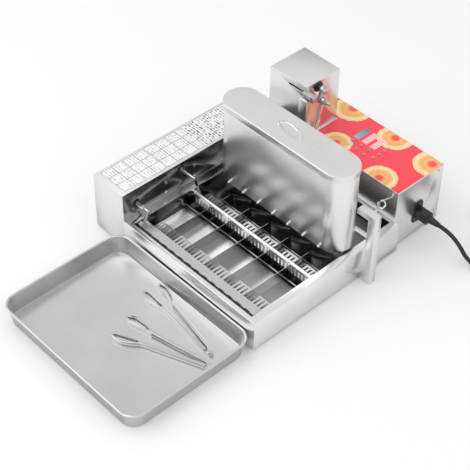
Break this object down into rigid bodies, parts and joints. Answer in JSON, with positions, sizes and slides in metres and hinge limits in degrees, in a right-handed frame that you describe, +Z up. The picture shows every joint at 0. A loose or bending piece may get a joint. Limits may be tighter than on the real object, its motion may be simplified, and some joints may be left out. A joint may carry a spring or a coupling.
{
  "type": "automatic doughnut maker",
  "caption": "Bench-top doughnut fryer: oil basin in lanes with comb flippers, lidded batter hopper on a crank-driven dosing linkage, control box, catch tray and tongs.",
  "frame": {"origin": "on the table, under the middle of the machine and its tray", "axes": "+Z up, -Y to the front (the tray side), +X to the operator's right"},
  "size_m": [0.7726, 1.0502, 0.3274],
  "materials": {
    "stainless": "fine brushed stainless sheet",
    "polished_steel": "polished stainless",
    "crank_steel": "machined steel",
    "heater_metal": "heat-darkened tube",
    "motor_paint": "semi-matte paint",
    "black_plastic": "moulded, fine texture",
    "rubber": "matte rubber",
    "cord_jacket": "smooth flexible jacket",
    "red_overlay": "glossy printed film",
    "printed_label": "printed plate",
    "display_window": "clear window",
    "key_cap": "domed film key",
    "indicator": "translucent lens"
  },
  "bodies": {
    "machine": {"left_housing": "stainless", "oil_tank": "stainless", "control_box": "stainless", "box_rear_panel": "stainless", "tower_shell": "stainless", "tower_front_plate": "stainless", "hopper_shell": "stainless", "hopper_nozzles": "stainless", "hopper_bracket": "stainless", "hopper_rail": "stainless", "lane_dividers": "stainless", "base_plate": "stainless", "drive_panel": "polished_steel", "hinge_leaf": "polished_steel", "bell_bracket": "polished_steel", "case_screws": "polished_steel", "capillary_tube": "polished_steel", "heater_tubes": "heater_metal", "flipper_gearmotor": "motor_paint", "dosing_gearmotor": "motor_paint", "shaft_bushes": "black_plastic", "power_inlet": "black_plastic", "cord_connector": "black_plastic", "mains_plug": "black_plastic", "rubber_feet": "rubber", "mains_cord": "cord_jacket", "cord_coil": "cord_jacket", "control_overlay": "red_overlay", "housing_label": "printed_label", "display_windows": "display_window", "indicator_lights": "indicator"},
    "lid": {"lid": "stainless", "lid_handle": "stainless"},
    "middle_drive": {"middle_lever": "polished_steel"},
    "front_drive": {"front_lever": "polished_steel"},
    "middle_drive_link": {"middle_link": "polished_steel"},
    "front_drive_link": {"front_link": "polished_steel"},
    "drive_tie": {"tie_bar": "polished_steel"},
    "middle_flipper": {"middle_flipper_rod": "polished_steel", "middle_flipper_combs": "polished_steel"},
    "outfeed_flipper": {"outfeed_comb": "polished_steel"},
    "dosing_drive": {"dosing_crank": "crank_steel"},
    "dosing_link": {"link_bar": "polished_steel"},
    "rocker": {"bell_crank": "crank_steel"},
    "plunger_set": {"plungers": "polished_steel", "plunger_lift_bar": "polished_steel"},
    "adjuster": {"dose_adjuster": "crank_steel"},
    "catch_tray": {"tray": "stainless"},
    "near_tong": {"near_tong_a": "polished_steel"},
    "near_tong_arm": {"near_tong_b": "polished_steel"},
    "far_tong": {"far_tong_a": "polished_steel"},
    "far_tong_arm": {"far_tong_b": "polished_steel"},
    "key_body_1": {"key_1": "key_cap"},
    "key_body_2": {"key_2": "key_cap"},
    "key_body_3": {"key_3": "key_cap"},
    "key_body_4": {"key_4": "key_cap"},
    "key_body_5": {"key_5": "key_cap"},
    "key_body_6": {"key_6": "key_cap"},
    "key_body_7": {"key_7": "key_cap"},
    "key_body_8": {"key_8": "key_cap"}
  },
  "joints": [
    {"name": "lid_lift", "type": "slide", "parent": "machine", "child": "lid", "axis": [0, 0, 1], "range_m": [0, 0.12]},
    {"name": "middle_drive_turn", "type": "hinge", "parent": "machine", "child": "middle_drive", "pos_m": [-0.1765, 0.04, 0.139], "axis": [1, 0, 0], "range_deg": [0, 100]},
    {"name": "front_drive_turn", "type": "hinge", "parent": "machine", "child": "front_drive", "pos_m": [-0.1765, -0.094, 0.115], "axis": [1, 0, 0], "range_deg": [0, 100]},
    {"name": "middle_flipper_turn", "type": "hinge", "parent": "machine", "child": "middle_flipper", "pos_m": [0.0365, 0.056, 0.076], "axis": [1, 0, 0], "range_deg": [0, 100]},
    {"name": "outfeed_flipper_turn", "type": "hinge", "parent": "machine", "child": "outfeed_flipper", "pos_m": [0.0365, -0.1185, 0.0785], "axis": [1, 0, 0], "range_deg": [0, 100]},
    {"name": "middle_link_turn", "type": "hinge", "parent": "middle_drive", "child": "middle_drive_link", "pos_m": [-0.151, 0.05606, 0.11606], "axis": [1, 0, 0], "range_deg": [-100, 0]},
    {"name": "front_link_turn", "type": "hinge", "parent": "front_drive", "child": "front_drive_link", "pos_m": [-0.151, -0.08138, 0.09698], "axis": [1, 0, 0], "range_deg": [-100, 0]},
    {"name": "drive_tie_turn", "type": "hinge", "parent": "middle_drive", "child": "drive_tie", "pos_m": [-0.2005, 0.01575, 0.125], "axis": [1, 0, 0], "range_deg": [-100, 0]},
    {"name": "dosing_crank_turn", "type": "hinge", "parent": "machine", "child": "dosing_drive", "pos_m": [-0.0305, 0.341, 0.295], "axis": [1, 0, 0], "range_deg": [0, 21]},
    {"name": "dosing_link_turn", "type": "hinge", "parent": "dosing_drive", "child": "dosing_link", "pos_m": [-0.0205, 0.334, 0.272], "axis": [1, 0, 0], "range_deg": [-21, 0]},
    {"name": "rocker_turn", "type": "hinge", "parent": "machine", "child": "rocker", "pos_m": [-0.0285, 0.303, 0.176], "axis": [1, 0, 0], "range_deg": [0, 21]},
    {"name": "plunger_stroke", "type": "slide", "parent": "machine", "child": "plunger_set", "axis": [0, 0, 1], "range_m": [-0.024, 0]},
    {"name": "dose_adjust", "type": "slide", "parent": "machine", "child": "adjuster", "axis": [1, 0, 0], "range_m": [-0.06, 0]},
    {"name": "tray_pull", "type": "slide", "parent": "machine", "child": "catch_tray", "axis": [0, -1, 0], "range_m": [0, 0.2]},
    {"name": "near_tong_lift", "type": "slide", "parent": "catch_tray", "child": "near_tong", "axis": [0, 0, 1], "range_m": [0, 0.15]},
    {"name": "far_tong_lift", "type": "slide", "parent": "catch_tray", "child": "far_tong", "axis": [0, 0, 1], "range_m": [0, 0.15]},
    {"name": "near_tong_squeeze", "type": "hinge", "parent": "near_tong", "child": "near_tong_arm", "pos_m": [0.2245, -0.235, 0.007], "axis": [0, 0, 1], "range_deg": [0, 9], "stiffness_Nm_per_rad": 0.3},
    {"name": "far_tong_squeeze", "type": "hinge", "parent": "far_tong", "child": "far_tong_arm", "pos_m": [0.1945, -0.21, 0.007], "axis": [0, 0, 1], "range_deg": [0, 4.5], "stiffness_Nm_per_rad": 0.3},
    {"name": "key_1_press", "type": "slide", "parent": "machine", "child": "key_body_1", "axis": [0, 0, -1], "range_m": [0, 0.0005], "stiffness_N_per_m": 400},
    {"name": "key_2_press", "type": "slide", "parent": "machine", "child": "key_body_2", "axis": [0, 0, -1], "range_m": [0, 0.0005], "stiffness_N_per_m": 400},
    {"name": "key_3_press", "type": "slide", "parent": "machine", "child": "key_body_3", "axis": [0, 0, -1], "range_m": [0, 0.0005], "stiffness_N_per_m": 400},
    {"name": "key_4_press", "type": "slide", "parent": "machine", "child": "key_body_4", "axis": [0, 0, -1], "range_m": [0, 0.0005], "stiffness_N_per_m": 400},
    {"name": "key_5_press", "type": "slide", "parent": "machine", "child": "key_body_5", "axis": [0, 0, -1], "range_m": [0, 0.0005], "stiffness_N_per_m": 400},
    {"name": "key_6_press", "type": "slide", "parent": "machine", "child": "key_body_6", "axis": [0, 0, -1], "range_m": [0, 0.0005], "stiffness_N_per_m": 400},
    {"name": "key_7_press", "type": "slide", "parent": "machine", "child": "key_body_7", "axis": [0, 0, -1], "range_m": [0, 0.0005], "stiffness_N_per_m": 400},
    {"name": "key_8_press", "type": "slide", "parent": "machine", "child": "key_body_8", "axis": [0, 0, -1], "range_m": [0, 0.0005], "stiffness_N_per_m": 400}
  ],
  "couplings": [
    {"joint": "front_drive_turn", "follows": "middle_drive_turn", "ratio": 1},
    {"joint": "middle_flipper_turn", "follows": "middle_drive_turn", "ratio": 1},
    {"joint": "outfeed_flipper_turn", "follows": "middle_drive_turn", "ratio": 1},
    {"joint": "middle_link_turn", "follows": "middle_drive_turn", "ratio": -1},
    {"joint": "front_link_turn", "follows": "middle_drive_turn", "ratio": -1},
    {"joint": "drive_tie_turn", "follows": "middle_drive_turn", "ratio": -1},
    {"joint": "dosing_crank_turn", "follows": "plunger_stroke", "rad_per_m": -15.272},
    {"joint": "dosing_link_turn", "follows": "plunger_stroke", "rad_per_m": 15.272},
    {"joint": "rocker_turn", "follows": "plunger_stroke", "rad_per_m": -15.272}
  ]
}
